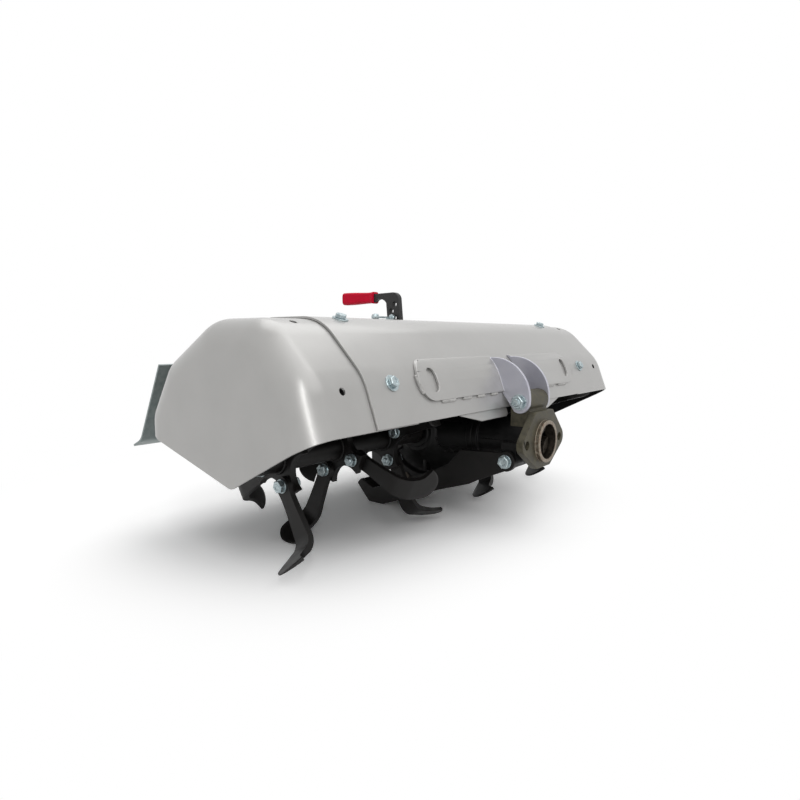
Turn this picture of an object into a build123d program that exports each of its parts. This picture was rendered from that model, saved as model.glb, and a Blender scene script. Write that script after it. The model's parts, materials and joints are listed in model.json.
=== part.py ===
"""Rotary tiller head for a two-wheel tractor: sheet hood with two bolted-on end wings,
bevel gearbox on a tubular input neck, tined rotor, rear flap and depth skid.

Frame: X across the working width, -Y towards the tractor coupling, +Z up,
origin on the floor under the middle of the part. All sizes in millimetres.
"""

from build123d import *
from math import atan2, cos, degrees, radians, sin, tan
import os

os.makedirs("parts", exist_ok=True)

# ------------------------------------------------------------------ driving sizes
# rotor
tine_depth = 140.0            # axle to the outer face of a tine's blade
tine_half_width = 15.0
front_stand = 22.0            # degrees forward of straight down of the tines it stands on in front
rear_stand = 23.0             # and behind
shaft_radius = 13.0
hub_radius = 17.0
hub_inner_x = 46.5
hub_outer_x = 372.0
running_gap = 0.08            # radial clearance of a shaft in its bore
seat_gap = 0.05               # radial clearance of a part welded on a tube
axle_height = tine_depth * cos(radians(front_stand)) + tine_half_width * sin(radians(front_stand))

# tines and their holders
tine_thickness = 8.0
tine_root_radius = 36.0       # distance of the fixing bolt from the axle
tine_eye_radius = 12.0
tine_root_half = 10.0         # half width of the shank at the bolt
tine_bend_inner = 18.0
tine_reach = 61.0             # shank's back face to the far end of the blade
tine_corner_reach = 42.0      # and to the blade's leading corner
tine_tip_reach = 45.0         # and to its trailing tip
tine_tip_trail = 33.0         # how far the tip trails the shank's middle
tine_tip_depth = (axle_height - tine_tip_trail * sin(radians(rear_stand))) / cos(radians(rear_stand))
holder_thickness = 10.0
holder_half = 50.0
holder_corner = 14.0
holder_inset = 35.0           # hub's outer end to the outer holder
holder_steps = (103.0, 106.0) # inner to middle holder, middle to outer

# hood
hood_sheet = 3.0
hood_half = 330.0
wing_sheet = 3.0
wing_gap = 0.3
wing_overlap = 80.0
wing_end_x = 430.0
wing_corner = 40.0            # drawn corner between a wing's end and its skin
wing_skirt = 40.0             # how far the wing blank runs below the axle before trimming
wing_low = (-25.0, -19.0)     # y, z of the lowest point of a wing's end
wing_low_round = 14.0
wing_hole_radius = 4.5
wing_hole_x = 367.0

# coupling and neck
neck_radius = 37.0
neck_bore_radius = 26.25
neck_core_radius = 31.0       # cored-out bore behind the flange
neck_collar_radius = 41.0
neck_collar_thickness = 10.0
neck_joint_y = -105.0
flange_back_y = -199.0
flange_thickness = 11.0
flange_hole_x = 55.0
flange_hole_radius = 6.5
flange_ear_radius = 15.0
pilot_radius = 32.0
pilot_height = 7.0
lug_wall = 9.0
lug_core_height = 24.0
dog_radius = 23.0
dog_shaft_radius = 14.0
dog_bearing_length = 16.0
dog_length = 22.0

# hitch bracket on the hood
pad_thickness = 4.0
pad_end_x = 235.0
pad_low, pad_high = 75.0, 128.0
pad_slot_x = 205.0
pad_slot_width = 18.0
pad_slot_length = 30.0
ear_inner_x = 30.0
ear_thickness = 5.0
ear_pin = (-185.0, 60.0)      # y, z of the hitch bolt
ear_pin_round = 17.0
hitch_bolt_radius = 6.0
hole_play = 0.25

# gearbox
case_radius = 90.0
case_half = 24.0
case_boss_half = 46.0
case_boss_radius = 36.0
case_lug_count = 8
case_lug_radius = 8.0
case_pad_top = case_radius + 6

# depth skid and its lever
skid_pivot = (-174.0, -28.0)  # y, z
skid_plate = 8.0
skid_inner_x = 46.5
skid_eye = 15.0
skid_bolt_radius = 8.0
skid_bolt_end_x = 24.0        # how far in the pivot screws reach
sole_thickness = 12.0
lever_thickness = 10.0
lever_width = 29.0
lever_top = 236.0
lever_neck_z = 218.0          # where the lever's rear edge curves back into its arm
lever_elbow = (110.0, 225.0)  # y, z on that curve
lever_hole_radius = 4.5
lever_holes = ((79.0, lever_top - 21), (86.0, lever_top - 33), (79.0, lever_top - 45))
slot_front_y, slot_rear_y = 36.0, 110.0
slot_side_gap = 5.0
grip_start_y, grip_end_y = 127.0, 206.0
grip_z = 228.5
grip_height, grip_width = 23.0, 21.0

# rear flap
flap_sheet = 3.0
flap_half = 400.0
flap_pin = (168.0, 115.5)     # y, z of the hinge pin
flap_fall = 127.0             # length from the pin to the lip
flap_lean = 27.8              # degrees off vertical, resting on its stops
flap_lip = 24.0
flap_lip_lean = 66.0
flap_knuckle_radius = 6.5
flap_pin_radius = 4.0
flap_hinges_x = (-280.0, 0.0, 280.0)
hinge_cheek = 5.0
hinge_half_gap = 12.5
strap_width, strap_thickness = 30.0, 5.0
strap_start, strap_end = 8.0, 108.0
stop_gap = 0.3

lean = radians(flap_lean)
along = (sin(lean), -cos(lean))          # down the flap
outward = (cos(lean), sin(lean))         # away from the hood
flap_inner = flap_knuckle_radius - 1.0   # distance of the flap's inner face from the pin


def flap_point(down, off):
    """Point at a distance down the flap from the pin and off its inner side."""
    return (
        flap_pin[0] + along[0] * down + outward[0] * off,
        flap_pin[1] + along[1] * down + outward[1] * off,
    )


lip_lean = radians(flap_lip_lean)
lip_start = flap_point(flap_fall, flap_inner)
lip_end = (lip_start[0] + flap_lip * sin(lip_lean), lip_start[1] - flap_lip * cos(lip_lean))

# the axle's place, with the whole part centred over the frame's origin
flange_face_y = flange_back_y - flange_thickness
front_reach = -flange_face_y + pilot_height
rear_reach = lip_end[0] + flap_sheet * cos(lip_lean)
axle_y = (front_reach - rear_reach) / 2


# ------------------------------------------------------------------ helpers
# every y and z in the tables below is measured from the rotor's axle
def side(x):
    """Plane seen from +X at x, its origin on the axle, local x = +Y, local y = +Z."""
    return Plane(origin=(x, axle_y, axle_height), x_dir=(0, 1, 0), z_dir=(1, 0, 0))


def front(y):
    """Plane seen from the coupling side at y, local x = +X, local y = +Z."""
    return Plane(origin=(0, axle_y + y, axle_height), x_dir=(1, 0, 0), z_dir=(0, -1, 0))


def level(z):
    """Plane seen from above at z, its origin over the axle, local x = +X, local y = +Y."""
    return Plane(origin=(0, axle_y, axle_height + z), x_dir=(1, 0, 0), z_dir=(0, 0, 1))


def save(builder, name):
    """Label a finished piece and write its STEP file."""
    builder.part.label = name
    export_step(builder.part, f"parts/{name}.step")


def save_pair(builder, name):
    """Write a right-hand piece and its mirror image on the left."""
    save(builder, f"{name}_right")
    with BuildPart() as twin:
        mirror(builder.part, about=Plane.YZ)
    save(twin, f"{name}_left")


def parallel(table, inset):
    """Corner table (y, z, bend radius) of the line that runs inset inside the given one."""
    moved = []
    last = len(table) - 1
    for i, (y, z, radius) in enumerate(table):
        before = table[max(i - 1, 0)]
        after = table[min(i + 1, last)]
        normals = []
        for start, end in ((before, table[i]), (table[i], after)):
            dy, dz = end[0] - start[0], end[1] - start[1]
            length = (dy * dy + dz * dz) ** 0.5
            if length > 0:
                normals.append((dz / length, -dy / length))
        (ay, az), (by, bz) = normals[0], normals[-1]
        share = inset / (1 + ay * by + az * bz)
        moved.append((y + share * (ay + by), z + share * (az + bz), max(radius - inset, 0)))
    return moved


def sheet_between(table, outer_inset, thickness):
    """Closed outline of a bent sheet that follows the table's line."""
    outer = parallel(table, outer_inset)
    inner = parallel(table, outer_inset + thickness)
    for line in (outer, inner):
        FilletPolyline(*[(y, z) for y, z, r in line], radius=[r for y, z, r in line[1:-1]])
    for end in (0, -1):
        Line(outer[end][:2], inner[end][:2])


# ------------------------------------------------------------------ hood outline
# corners of the centre hood's outer skin, front bottom edge to rear bottom edge
hood_corners = [
    # y,      z,     bend radius
    (-164.0, 52.0, 0.0),
    (-142.3, 111.7, 80.0),
    (-72.0, 182.0, 75.0),
    (31.0, 182.0, 60.0),
    (122.0, 131.0, 50.0),
    (169.5, 60.0, 50.0),
    (169.5, 26.0, 0.0),
]
hood_top = hood_corners[2][1]
front_lean = (hood_corners[1][0] - hood_corners[0][0]) / (hood_corners[1][1] - hood_corners[0][1])
rear_slope = (hood_corners[4][1] - hood_corners[3][1]) / (hood_corners[4][0] - hood_corners[3][0])


def lengthened(table, bottom):
    """The same line with both ends carried on straight down to the given height."""
    y0, z0, r0 = table[0]
    y1, z1, r1 = table[-1]
    return [(y0 + (bottom - z0) * front_lean, bottom, 0.0)] + table[1:-1] + [(y1, bottom, 0.0)]


def closed_outline(inset):
    """Closed section under the hood's skin, for solid forms that fit inside it."""
    line = parallel(lengthened(hood_corners, -wing_skirt), inset)
    FilletPolyline(*[(y, z) for y, z, r in line], radius=[r for y, z, r in line[1:-1]])
    Line(line[0][:2], line[-1][:2])


# solid form of the hood's outer skin, to trim what is welded on it
with BuildPart() as hood_form:
    with BuildSketch(side(-hood_half)):
        with BuildLine():
            closed_outline(0)
        make_face()
    extrude(amount=2 * hood_half)

# ------------------------------------------------------------------ centre hood
with BuildPart() as hood_center:
    with BuildSketch(side(-hood_half)):
        with BuildLine():
            sheet_between(hood_corners, 0, hood_sheet)
        make_face()
    extrude(amount=2 * hood_half)
    # slot that the depth lever swings through
    with BuildSketch(level(hood_corners[4][1] - 10)):
        with Locations((0, (slot_front_y + slot_rear_y) / 2)):
            SlotOverall(slot_rear_y - slot_front_y, lever_thickness + 2 * slot_side_gap, rotation=90)
    extrude(amount=hood_top, mode=Mode.SUBTRACT)
save(hood_center, "hood_center")


# ------------------------------------------------------------------ end wings
def wing_blank(inset, start_x, end_x, corner):
    """Solid blank of a wing, its end drawn over with the given corner radius."""
    with BuildPart() as blank:
        with BuildSketch(side(start_x)):
            with BuildLine():
                closed_outline(inset)
            make_face()
        extrude(amount=end_x - start_x)
        rim = blank.faces().sort_by(Axis.X)[-1].edges().sort_by(Axis.Z)[1:]
        fillet(rim, radius=corner)
    return blank.part


wing_inset = hood_sheet + wing_gap
wing_start_x = hood_half - wing_overlap
front_foot, rear_foot = hood_corners[0], hood_corners[-1]
front_rise = (front_foot[1] - wing_low[1]) / (wing_low[0] - front_foot[0])
wing_trim = [
    (front_foot[0] - 60, front_foot[1] + 60 * front_rise),
    (rear_foot[0] + 40, rear_foot[1] + 18),
]
# spare holes for the narrower settings: y, z on the skin and the angle of its normal
wing_holes = [(-143.0, 97.0, 158.0), (-66.0, 174.0, 106.0), (76.0, 153.0, 60.7), (146.0, 92.0, 33.8)]

with BuildPart() as wing:
    add(wing_blank(wing_inset, wing_start_x, wing_end_x, wing_corner))
    add(
        wing_blank(wing_inset + wing_sheet, wing_start_x - 1, wing_end_x - wing_sheet, wing_corner - wing_sheet),
        mode=Mode.SUBTRACT,
    )
    # V-shaped lower edge, from the skin's two feet down to a rounded low point
    with BuildSketch(side(wing_start_x - 1)):
        with BuildLine():
            FilletPolyline(wing_trim[0], wing_low, wing_trim[1], radius=[wing_low_round])
            Polyline(
                wing_trim[0],
                (wing_trim[0][0], -2 * wing_skirt),
                (wing_trim[1][0], -2 * wing_skirt),
                wing_trim[1],
            )
        make_face()
    extrude(amount=wing_end_x, mode=Mode.SUBTRACT)
    for y, z, normal in wing_holes:
        drill = Plane(
            origin=(wing_hole_x, axle_y + y, axle_height + z),
            z_dir=(0, cos(radians(normal)), sin(radians(normal))),
        )
        with BuildSketch(drill):
            Circle(wing_hole_radius)
        extrude(amount=4 * wing_sheet, both=True, mode=Mode.SUBTRACT)
save_pair(wing, "wing")

# ------------------------------------------------------------------ hitch brackets
ear_outer_x = ear_inner_x + ear_thickness
with BuildPart() as bracket_pad:
    with BuildSketch(side(ear_inner_x)):
        with BuildLine():
            sheet_between(hood_corners, -pad_thickness, pad_thickness)
        make_face()
    extrude(amount=pad_end_x - ear_inner_x)
    with BuildSketch(front(0)):
        pad_middle = (pad_low + pad_high) / 2
        with Locations(((ear_inner_x + pad_end_x) / 2, pad_middle)):
            Rectangle(pad_end_x - ear_inner_x, pad_high - pad_low)
        corners = [v for v in vertices() if v.X > pad_slot_x]
        fillet(corners, radius=(pad_high - pad_low) / 2 - 1)
        with Locations((pad_slot_x, pad_middle)):
            SlotOverall(pad_slot_length, pad_slot_width, rotation=90, mode=Mode.SUBTRACT)
    extrude(amount=hood_top, mode=Mode.INTERSECT)

with BuildPart() as bracket:
    with BuildSketch(side(ear_inner_x)):
        with BuildLine():
            ThreePointArc((-137, pad_high - 2), (-180, 112), (ear_pin[0] - ear_pin_round, ear_pin[1]))
            ThreePointArc(
                (ear_pin[0] - ear_pin_round, ear_pin[1]),
                (ear_pin[0] - ear_pin_round * 0.42, ear_pin[1] - ear_pin_round * 0.907),
                (ear_pin[0] + ear_pin_round * 0.5, ear_pin[1] - ear_pin_round * 0.866),
            )
            Polyline(
                (ear_pin[0] + ear_pin_round * 0.5, ear_pin[1] - ear_pin_round * 0.866),
                (-158, pad_low - 4),
                (-120, pad_low),
                (-120, pad_high - 2),
                (-137, pad_high - 2),
            )
        make_face()
        with Locations(ear_pin):
            Circle(hitch_bolt_radius + hole_play, mode=Mode.SUBTRACT)
    extrude(amount=ear_thickness)
    add(hood_form.part, mode=Mode.SUBTRACT)
    add(bracket_pad.part)
save_pair(bracket, "hitch_bracket")

# stiffener behind the hood's front edge, its inner end hanging below the edge
doubler_end_x = 158.0
doubler_low = 38.0
with BuildPart() as doubler:
    with BuildSketch(side(ear_inner_x)):
        with BuildLine():
            sheet_between(lengthened(hood_corners, doubler_low - 10), hood_sheet, hood_sheet)
        make_face()
    extrude(amount=doubler_end_x - ear_inner_x)
    with BuildSketch(front(0)):
        with BuildLine():
            Polyline(
                (ear_inner_x, doubler_low),
                (doubler_end_x - 50, doubler_low),
                (doubler_end_x, hood_corners[0][1] - 2),
                (doubler_end_x, pad_low),
                (ear_inner_x, pad_low),
                close=True,
            )
        make_face()
        fillet(vertices().group_by(Axis.Y)[0].sort_by(Axis.X)[0], radius=8)
    extrude(amount=hood_top, mode=Mode.INTERSECT)
save_pair(doubler, "front_stiffener")

# ------------------------------------------------------------------ gearbox
# half section of the case: distance from the middle, radius
case_section = [
    (0, 0),
    (0, case_radius),
    (case_half, case_radius),
    (case_half, case_radius - 12),
    (case_half - 6, case_radius - 17),
    (case_half - 4, 62),
    (case_boss_half - 14, case_boss_radius + 8),
    (case_boss_half - 6, case_boss_radius),
    (case_boss_half, case_boss_radius - 3),
    (case_boss_half, 0),
]
with BuildPart() as gearbox:
    with BuildSketch(front(0)):
        with BuildLine():
            Polyline(*case_section, close=True)
        make_face()
        mirror(about=Plane.YZ)
    revolve(axis=Axis((0, axle_y, axle_height), (1, 0, 0)))
    # bolting lugs round the case's joint
    with BuildSketch(side(-case_half + 4)):
        with PolarLocations(case_radius, case_lug_count, start_angle=180 / case_lug_count):
            Circle(case_lug_radius)
    extrude(amount=2 * (case_half - 4))
    # neck seat with its round joint face
    with BuildSketch(front(0)):
        Circle(neck_collar_radius - 3)
    extrude(amount=-neck_joint_y)
    with BuildSketch(front(neck_joint_y + neck_collar_thickness)):
        Circle(neck_collar_radius)
    extrude(amount=neck_collar_thickness)
    with BuildSketch(front(neck_joint_y + 45)):
        Circle(neck_core_radius)
    extrude(amount=45, mode=Mode.SUBTRACT)
    # pad that carries the hood
    with BuildSketch(level(0)):
        Rectangle(2 * case_half, 76)
    extrude(amount=case_pad_top)
    # bore for the rotor shaft
    with BuildSketch(side(-case_boss_half)):
        Circle(shaft_radius + running_gap)
    extrude(amount=2 * case_boss_half, mode=Mode.SUBTRACT)
save(gearbox, "gearbox")

# folded saddle between the gearbox and the hood's flat top
saddle_half = 30.0
saddle_sheet = 6.0
saddle_front_y, saddle_rear_y = -38.0, 12.0
saddle_top = hood_top - hood_sheet
with BuildPart() as saddle:
    with BuildSketch(front(saddle_rear_y)):
        with BuildLine():
            Polyline(
                (-saddle_half, case_pad_top),
                (-saddle_half, saddle_top),
                (saddle_half, saddle_top),
                (saddle_half, case_pad_top),
                (0, case_pad_top),
                close=True,
            )
        make_face()
        with BuildLine():
            Polyline(
                (-saddle_half + saddle_sheet, case_pad_top + saddle_sheet),
                (-saddle_half + saddle_sheet, saddle_top - saddle_sheet),
                (saddle_half - saddle_sheet, saddle_top - saddle_sheet),
                (saddle_half - saddle_sheet, case_pad_top + saddle_sheet),
                close=True,
            )
        make_face(mode=Mode.SUBTRACT)
    extrude(amount=saddle_rear_y - saddle_front_y)
save(saddle, "hood_saddle")

# ------------------------------------------------------------------ input neck
with BuildPart() as neck:
    with BuildSketch(front(neck_joint_y)):
        Circle(neck_radius)
    extrude(amount=neck_joint_y - flange_back_y)
    with BuildSketch(front(neck_joint_y)):
        Circle(neck_collar_radius)
    extrude(amount=neck_collar_thickness)
    # cross boss that carries the skid
    with BuildSketch(side(-skid_inner_x + stop_gap)):
        with BuildLine():
            Polyline(
                (skid_pivot[0] - 13, skid_pivot[1]),
                (skid_pivot[0] - 13, 0),
                (skid_pivot[0] + 13, 0),
                (skid_pivot[0] + 13, skid_pivot[1]),
                close=True,
            )
        make_face()
        with Locations(skid_pivot):
            Circle(13)
    extrude(amount=2 * (skid_inner_x - stop_gap))
    for x in (-skid_inner_x, skid_bolt_end_x):
        with BuildSketch(side(x)):
            with Locations(skid_pivot):
                Circle(skid_bolt_radius)
        extrude(amount=skid_inner_x - skid_bolt_end_x, mode=Mode.SUBTRACT)
    # input bore, open to the coupling, with the bearing seat behind it
    with BuildSketch(front(neck_joint_y)):
        Circle(dog_shaft_radius + running_gap)
    extrude(amount=neck_joint_y - flange_back_y, mode=Mode.SUBTRACT)
    with BuildSketch(front(neck_joint_y - dog_bearing_length)):
        Circle(neck_core_radius)
    extrude(amount=neck_joint_y - dog_bearing_length - flange_back_y, mode=Mode.SUBTRACT)
save(neck, "input_neck")

# ------------------------------------------------------------------ coupling flange
with BuildPart() as flange:
    with BuildSketch(front(flange_back_y)):
        for x in (-flange_hole_x, flange_hole_x):
            with Locations((x, 0)):
                Circle(flange_ear_radius)
        with Locations((0, 45)):
            Rectangle(60, 2)
        with Locations((0, -39)):
            Rectangle(44, 2)
        make_hull()
    extrude(amount=flange_thickness)
    with BuildSketch(front(flange_face_y)):
        Circle(pilot_radius)
    extrude(amount=pilot_height)
    # neck lug between the hitch ears
    with BuildSketch(side(-ear_inner_x + stop_gap)):
        with Locations(ear_pin):
            Circle(ear_pin_round)
        with Locations(((flange_back_y + ear_pin[0] + ear_pin_round) / 2, ear_pin[1] / 2)):
            Rectangle(ear_pin[0] + ear_pin_round - flange_back_y, ear_pin[1])
    extrude(amount=2 * (ear_inner_x - stop_gap))
    with BuildSketch(front(0)):
        Circle(neck_radius)
    extrude(amount=-flange_back_y, mode=Mode.SUBTRACT)
    with BuildSketch(front(flange_back_y)):
        Circle(neck_bore_radius)
        with Locations((-flange_hole_x, 0), (flange_hole_x, 0)):
            Circle(flange_hole_radius)
    extrude(amount=flange_thickness + pilot_height, mode=Mode.SUBTRACT)
    with BuildSketch(side(-ear_inner_x)):
        with Locations(ear_pin):
            Circle(hitch_bolt_radius + hole_play)
    extrude(amount=2 * ear_inner_x, mode=Mode.SUBTRACT)
    # the lug is cored out from behind
    with BuildSketch(front(ear_pin[0] + ear_pin_round)):
        with Locations((0, neck_radius + lug_wall + lug_core_height / 2)):
            Rectangle(2 * (ear_inner_x - lug_wall), lug_core_height)
    extrude(amount=ear_pin[0] + ear_pin_round - flange_back_y - lug_wall, mode=Mode.SUBTRACT)
save(flange, "coupling_flange")

# cross bolt through the ears and the neck lug, with its head and nut
with BuildPart() as hitch_bolt:
    with BuildSketch(side(-ear_outer_x)):
        with Locations(ear_pin):
            Circle(hitch_bolt_radius)
    extrude(amount=2 * ear_outer_x)
    for x in (-ear_outer_x - 10, ear_outer_x):
        with BuildSketch(side(x)):
            with Locations(ear_pin):
                RegularPolygon(radius=9.5, side_count=6, major_radius=False)
        extrude(amount=10)
save(hitch_bolt, "hitch_bolt")

# dog that takes the drive, three jaws facing the coupling
dog_face_y = flange_back_y + 4
dog_back_y = dog_face_y + dog_length
jaw_height = 11.0
with BuildPart() as dog:
    with BuildSketch(front(neck_joint_y)):
        Circle(dog_shaft_radius)
    extrude(amount=neck_joint_y - dog_back_y)
    with BuildSketch(front(dog_back_y)):
        Circle(dog_radius)
    extrude(amount=dog_back_y - dog_face_y)
    with BuildSketch(front(dog_face_y)):
        Circle(dog_radius)
        Circle(dog_radius - 11, mode=Mode.SUBTRACT)
        with PolarLocations(dog_radius - 5, 3, start_angle=30):
            Rectangle(16, 15, mode=Mode.SUBTRACT)
    extrude(amount=jaw_height)
save(dog, "input_dog")

# ------------------------------------------------------------------ rotor
with BuildPart() as shaft:
    with BuildSketch(side(-hub_outer_x - 4)):
        Circle(shaft_radius)
    extrude(amount=2 * (hub_outer_x + 4))
save(shaft, "rotor_shaft")

with BuildPart() as hub:
    with BuildSketch(side(hub_inner_x)):
        Circle(hub_radius)
        Circle(shaft_radius + seat_gap, mode=Mode.SUBTRACT)
    extrude(amount=hub_outer_x - hub_inner_x)
save_pair(hub, "rotor_hub")


def tine(bend):
    """One tine about the frame's X axis, pointing straight down at x = 0, its blade bent towards +X or -X."""
    half = tine_half_width
    heel = (-half, tine_depth)
    tip = (tine_tip_trail, tine_tip_depth)
    bend_start = tine_depth - tine_thickness - tine_bend_inner
    # outline in side view: local x trails the motion, local y runs out from the axle
    flat = Plane(origin=(0, 0, 0), x_dir=(0, -1, 0), z_dir=(1, 0, 0))
    # section of the bent bar: local x = X, local y runs out from the axle
    bent = Plane(origin=(0, 0, 0), x_dir=(1, 0, 0), z_dir=(0, 1, 0))
    # plan of the blade: local x = X, local y trails the motion
    plan = Plane(origin=(0, 0, 0), x_dir=(1, 0, 0), z_dir=(0, 0, -1))
    with BuildPart() as blade:
        with BuildSketch(flat):
            with BuildLine():
                Polyline(
                    heel,
                    (-half, bend_start),
                    (-tine_root_half - 1, bend_start - 32),
                    (-tine_root_half, tine_root_radius),
                    (tine_root_half, tine_root_radius),
                    (tine_root_half + 1, bend_start - 32),
                    (half, bend_start),
                    (tine_tip_trail + 2, tine_depth - tine_thickness - 5),
                    tip,
                )
                ThreePointArc(tip, (10, (tip[1] + heel[1]) / 2 + 2), heel)
            make_face()
            with Locations((0, tine_root_radius)):
                Circle(tine_eye_radius)
        extrude(amount=bend * (tine_reach + 1))
        with BuildSketch(bent):
            low = tine_root_radius - tine_eye_radius - 2
            with BuildLine():
                FilletPolyline(
                    (0, low),
                    (0, tine_depth),
                    (bend * (tine_reach + 2), tine_depth),
                    radius=[tine_bend_inner + tine_thickness],
                )
                FilletPolyline(
                    (bend * tine_thickness, low),
                    (bend * tine_thickness, tine_depth - tine_thickness),
                    (bend * (tine_reach + 2), tine_depth - tine_thickness),
                    radius=[tine_bend_inner],
                )
                Line((0, low), (bend * tine_thickness, low))
                Line(
                    (bend * (tine_reach + 2), tine_depth),
                    (bend * (tine_reach + 2), tine_depth - tine_thickness),
                )
            make_face()
        extrude(amount=tine_depth, both=True, mode=Mode.INTERSECT)
        with BuildSketch(plan):
            with BuildLine():
                corner = (bend * tine_corner_reach, -half - 1)
                point = (bend * tine_tip_reach, tine_tip_trail)
                root = (bend * (tine_thickness + 4), half)
                Polyline(root, (-bend, half), (-bend, -half - 1), corner)
                ThreePointArc(corner, (bend * tine_reach, 0), point)
                ThreePointArc(point, (bend * (tine_tip_reach - 15), half + 5), root)
            make_face()
        extrude(amount=tine_depth + 1, mode=Mode.INTERSECT)
    return blade.part


tine_out = tine(1)
tine_in = tine(-1)
outer_x = hub_outer_x - holder_inset
middle_x = outer_x - holder_steps[1]
inner_x = middle_x - holder_steps[0]
# the angle is that of the first tine, forward of straight down; the other three
# follow a quarter turn apart with their blades bent outwards and inwards in turn
holders = [
    # name,           x,        angle, first tine bends
    ("inner_right", inner_x, front_stand, "in"),
    ("middle_right", middle_x, 90 - rear_stand, "in"),
    ("outer_right", outer_x, front_stand, "in"),
    ("inner_left", -inner_x, front_stand, "in"),
    ("middle_left", -middle_x, 90 - rear_stand, "in"),
    ("outer_left", -outer_x, 31.0, "out"),
]
for name, x, angle, first in holders:
    with BuildPart() as holder:
        with BuildSketch(side(x - holder_thickness / 2)):
            RectangleRounded(2 * holder_half, 2 * holder_half, holder_corner, rotation=90 - angle)
            with PolarLocations(holder_half + 4, 4, start_angle=45 - angle):
                Circle(26, mode=Mode.SUBTRACT)
            Circle(hub_radius + seat_gap, mode=Mode.SUBTRACT)
        extrude(amount=holder_thickness)
    save(holder, f"tine_holder_{name}")
    with BuildPart() as tines:
        for quarter in range(4):
            bends_out = (quarter % 2 == 0) == (first == "out")
            to_right = bends_out == (x > 0)
            face_x = x + holder_thickness / 2 if to_right else x - holder_thickness / 2
            with Locations(Location((face_x, axle_y, axle_height), (-(angle + 90 * quarter), 0, 0))):
                add(tine_out if to_right else tine_in)
    save(tines, f"tines_{name}")

# ------------------------------------------------------------------ depth skid
foot_z = -axle_height
with BuildPart() as skid:
    with BuildSketch(side(skid_inner_x)):
        with BuildLine():
            Polyline(
                (skid_pivot[0] - 10, skid_pivot[1] - 10),
                (-125, -64),
                (-110, -72),
                (-54, -90),
                (66, foot_z),
                (98, foot_z),
                (126, foot_z + 30),
                (117, foot_z + 39),
                (88, foot_z + 26),
                (20, foot_z + 50),
                (-50, -56),
                (-72, -45),
                (-95, -19),
                (skid_pivot[0] + 6, skid_pivot[1] + 13),
                close=True,
            )
        make_face()
        fillet(vertices(), radius=3)
        with Locations(skid_pivot):
            Circle(skid_eye)
            Circle(skid_bolt_radius + running_gap, mode=Mode.SUBTRACT)
    extrude(amount=skid_plate)
save_pair(skid, "skid_plate")

with BuildPart() as sole:
    with BuildSketch(side(-skid_inner_x)):
        with BuildLine():
            sheet_between(
                [(48, foot_z + 7.5, 0), (66, foot_z, 20), (98, foot_z, 20), (126, foot_z + 30, 0)][::-1],
                0,
                sole_thickness,
            )
        make_face()
    extrude(amount=2 * skid_inner_x)
save(sole, "skid_sole")

lever_front_y = 69.5
lever_rear_y = lever_front_y + lever_width
with BuildPart() as lever:
    with BuildSketch(side(-lever_thickness / 2)):
        with BuildLine():
            Polyline(
                (grip_start_y, grip_z - 9),
                (grip_end_y - 8, grip_z - 9),
                (grip_end_y - 8, grip_z + 7),
                (grip_start_y, lever_top - 1),
                (lever_front_y + 14, lever_top),
            )
            ThreePointArc(
                (lever_front_y + 14, lever_top),
                (lever_front_y + 4, lever_top - 4),
                (lever_front_y, lever_top - 14),
            )
            Polyline(
                (lever_front_y, lever_top - 14),
                (lever_front_y - 7, 146),
                (106, 50),
                (106, foot_z + 14),
                (112, foot_z + 24),
                (134, foot_z + 46),
                (136, 60),
                (lever_rear_y - 6.5, 150),
                (lever_rear_y, lever_neck_z),
            )
            ThreePointArc((lever_rear_y, lever_neck_z), lever_elbow, (grip_start_y, grip_z - 9))
        make_face()
        with Locations(*lever_holes):
            Circle(lever_hole_radius, mode=Mode.SUBTRACT)
    extrude(amount=lever_thickness)
    add(sole.part, mode=Mode.SUBTRACT)
save(lever, "depth_lever")

with BuildPart() as grip:
    with BuildSketch(front(grip_start_y)):
        with Locations((0, grip_z)):
            RectangleRounded(grip_width, grip_height, 7)
    extrude(amount=grip_start_y - grip_end_y)
    fillet(grip.faces().sort_by(Axis.Y)[-1].edges(), radius=4)
    add(lever.part, mode=Mode.SUBTRACT)
save(grip, "lever_grip")

# pivot screws of the skid, one in each end of the neck's cross boss
pivot_end_x = skid_inner_x + skid_plate + stop_gap
with BuildPart() as skid_screw:
    with BuildSketch(side(skid_bolt_end_x)):
        with Locations(skid_pivot):
            Circle(skid_bolt_radius)
    extrude(amount=pivot_end_x - skid_bolt_end_x)
    with BuildSketch(side(pivot_end_x)):
        with Locations(skid_pivot):
            RegularPolygon(radius=8.5, side_count=6, major_radius=False)
    extrude(amount=8)
save_pair(skid_screw, "skid_screw")

# index plunger beside the lever's slot, drawn back off the lever
plunger = lever_holes[-1]
plate_x = -lever_thickness / 2 - slot_side_gap - 8
with BuildPart() as index:
    with BuildSketch(side(plate_x)):
        with Locations(plunger):
            Circle(10)
        with Locations((plunger[0], 140)):
            Rectangle(44, 4)
        make_hull()
    extrude(amount=5)
    with BuildSketch(side(plate_x)):
        with Locations(plunger):
            Circle(4.5)
    extrude(amount=-lever_thickness / 2 - 1 - plate_x)
    with BuildSketch(side(plate_x)):
        with Locations(plunger):
            Circle(7)
    extrude(amount=-22)
    with BuildSketch(side(plate_x - 22)):
        with Locations(plunger):
            Circle(9)
    extrude(amount=-11)
    fillet(index.faces().sort_by(Axis.X)[0].edges(), radius=4)
    add(hood_form.part, mode=Mode.SUBTRACT)
save(index, "index_plunger")

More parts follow.
